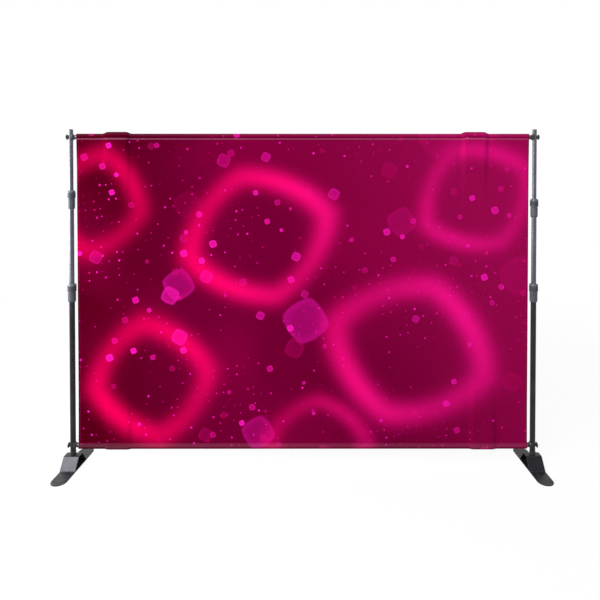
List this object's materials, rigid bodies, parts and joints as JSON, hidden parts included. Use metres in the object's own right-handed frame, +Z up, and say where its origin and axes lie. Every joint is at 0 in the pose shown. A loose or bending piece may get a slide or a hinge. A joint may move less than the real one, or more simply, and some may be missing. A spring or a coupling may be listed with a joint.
{
  "type": "telescopic banner stand",
  "caption": "Free-standing telescopic frame with bridge-shaped steel feet, twist-lock uprights and crossbars, and a printed cloth banner hung on pole pockets.",
  "frame": {"origin": "on the floor, midway between the two uprights and between the front and the back of the feet", "axes": "+X to the viewer's right along the crossbars, +Y away from the viewer, +Z up"},
  "size_m": [2.583, 0.362, 1.829],
  "materials": {
    "tube_paint": "satin",
    "foot_paint": "satin",
    "black_plastic": "matte",
    "knob_plastic": "gloss",
    "zinc": "satin",
    "cloth": "satin"
  },
  "bodies": {
    "bottom_bar": {"bottom_joiner": "black_plastic", "bottom_left_tube": "tube_paint", "bottom_right_tube": "tube_paint", "bottom_collars": "black_plastic"},
    "top_bar": {"top_joiner": "black_plastic", "top_left_tube": "tube_paint", "top_right_tube": "tube_paint", "top_collars": "black_plastic", "banner": "cloth"},
    "left_base": {"left_base_plug": "black_plastic", "left_foot_bolt": "zinc", "left_lower_tube": "tube_paint", "left_lower_collar": "black_plastic", "bottom_left_extension": "tube_paint", "bottom_left_saddle": "black_plastic"},
    "left_foot_body": {"left_foot": "foot_paint", "left_foot_bridge": "foot_paint"},
    "left_middle": {"left_middle_tube": "tube_paint", "left_middle_guide": "black_plastic", "left_upper_collar": "black_plastic"},
    "left_top": {"left_top_tube": "tube_paint", "left_top_guide": "black_plastic", "left_top_cap": "black_plastic", "top_left_extension": "tube_paint", "top_left_saddle": "black_plastic"},
    "left_lower_nut_body": {"left_lower_nut": "black_plastic"},
    "left_upper_nut_body": {"left_upper_nut": "black_plastic"},
    "bottom_left_nut_body": {"bottom_left_nut": "black_plastic"},
    "bottom_left_knob_body": {"bottom_left_knob": "knob_plastic"},
    "top_left_nut_body": {"top_left_nut": "black_plastic"},
    "top_left_knob_body": {"top_left_knob": "knob_plastic"},
    "right_base": {"right_base_plug": "black_plastic", "right_foot_bolt": "zinc", "right_lower_tube": "tube_paint", "right_lower_collar": "black_plastic", "bottom_right_extension": "tube_paint", "bottom_right_saddle": "black_plastic"},
    "right_foot_body": {"right_foot": "foot_paint", "right_foot_bridge": "foot_paint"},
    "right_middle": {"right_middle_tube": "tube_paint", "right_middle_guide": "black_plastic", "right_upper_collar": "black_plastic"},
    "right_top": {"right_top_tube": "tube_paint", "right_top_guide": "black_plastic", "right_top_cap": "black_plastic", "top_right_extension": "tube_paint", "top_right_saddle": "black_plastic"},
    "right_lower_nut_body": {"right_lower_nut": "black_plastic"},
    "right_upper_nut_body": {"right_upper_nut": "black_plastic"},
    "bottom_right_nut_body": {"bottom_right_nut": "black_plastic"},
    "bottom_right_knob_body": {"bottom_right_knob": "knob_plastic"},
    "top_right_nut_body": {"top_right_nut": "black_plastic"},
    "top_right_knob_body": {"top_right_knob": "knob_plastic"}
  },
  "joints": [
    {"name": "height", "type": "slide", "parent": "bottom_bar", "child": "top_bar", "axis": [0, 0, 1], "range_m": [-0.65, 0], "deforming": ["banner"]},
    {"name": "left_width", "type": "slide", "parent": "bottom_bar", "child": "left_base", "axis": [-1, 0, 0], "range_m": [0, 0.305]},
    {"name": "left_foot_swivel", "type": "hinge", "parent": "left_base", "child": "left_foot_body", "pos_m": [-1.25, 0, 0.065], "axis": [0, 0, 1], "range_deg": [-90, 90]},
    {"name": "left_middle_slide", "type": "slide", "parent": "left_base", "child": "left_middle", "axis": [0, 0, 1], "range_m": [-0.3905, 0]},
    {"name": "left_top_slide", "type": "slide", "parent": "left_middle", "child": "left_top", "axis": [0, 0, 1], "range_m": [-0.2605, 0]},
    {"name": "left_lower_nut_twist", "type": "hinge", "parent": "left_base", "child": "left_lower_nut_body", "pos_m": [-1.25, 0, 0.954], "axis": [0, 0, 1], "range_deg": [0, 180]},
    {"name": "left_upper_nut_twist", "type": "hinge", "parent": "left_middle", "child": "left_upper_nut_body", "pos_m": [-1.25, 0, 1.4577], "axis": [0, 0, 1], "range_deg": [0, 180]},
    {"name": "bottom_left_nut_twist", "type": "hinge", "parent": "bottom_bar", "child": "bottom_left_nut_body", "pos_m": [-1.011, 0, 0.116], "axis": [-1, 0, 0], "range_deg": [0, 180]},
    {"name": "bottom_left_knob_turn", "type": "hinge", "parent": "left_base", "child": "bottom_left_knob_body", "pos_m": [-1.25, 0, 0.116], "axis": [-1, 0, 0], "continuous": true},
    {"name": "top_left_nut_twist", "type": "hinge", "parent": "top_bar", "child": "top_left_nut_body", "pos_m": [-1.0075, 0, 1.7875], "axis": [-1, 0, 0], "range_deg": [0, 180]},
    {"name": "top_left_knob_turn", "type": "hinge", "parent": "left_top", "child": "top_left_knob_body", "pos_m": [-1.25, 0, 1.7875], "axis": [-1, 0, 0], "continuous": true},
    {"name": "right_width", "type": "slide", "parent": "bottom_bar", "child": "right_base", "axis": [1, 0, 0], "range_m": [0, 0.305]},
    {"name": "right_foot_swivel", "type": "hinge", "parent": "right_base", "child": "right_foot_body", "pos_m": [1.25, 0, 0.065], "axis": [0, 0, 1], "range_deg": [-90, 90]},
    {"name": "right_middle_slide", "type": "slide", "parent": "right_base", "child": "right_middle", "axis": [0, 0, 1], "range_m": [-0.345, 0]},
    {"name": "right_top_slide", "type": "slide", "parent": "right_middle", "child": "right_top", "axis": [0, 0, 1], "range_m": [-0.306, 0]},
    {"name": "right_lower_nut_twist", "type": "hinge", "parent": "right_base", "child": "right_lower_nut_body", "pos_m": [1.25, 0, 0.954], "axis": [0, 0, 1], "range_deg": [0, 180]},
    {"name": "right_upper_nut_twist", "type": "hinge", "parent": "right_middle", "child": "right_upper_nut_body", "pos_m": [1.25, 0, 1.4121], "axis": [0, 0, 1], "range_deg": [0, 180]},
    {"name": "bottom_right_nut_twist", "type": "hinge", "parent": "bottom_bar", "child": "bottom_right_nut_body", "pos_m": [0.983, 0, 0.116], "axis": [1, 0, 0], "range_deg": [0, 180]},
    {"name": "bottom_right_knob_turn", "type": "hinge", "parent": "right_base", "child": "bottom_right_knob_body", "pos_m": [1.25, 0, 0.116], "axis": [1, 0, 0], "continuous": true},
    {"name": "top_right_nut_twist", "type": "hinge", "parent": "top_bar", "child": "top_right_nut_body", "pos_m": [0.9325, 0, 1.7875], "axis": [1, 0, 0], "range_deg": [0, 180]},
    {"name": "top_right_knob_turn", "type": "hinge", "parent": "right_top", "child": "top_right_knob_body", "pos_m": [1.25, 0, 1.7875], "axis": [1, 0, 0], "continuous": true}
  ],
  "couplings": [
    {"joint": "left_middle_slide", "follows": "height", "ratio": 0.6},
    {"joint": "left_top_slide", "follows": "height", "ratio": 0.4},
    {"joint": "right_middle_slide", "follows": "height", "ratio": 0.53},
    {"joint": "right_top_slide", "follows": "height", "ratio": 0.47}
  ]
}
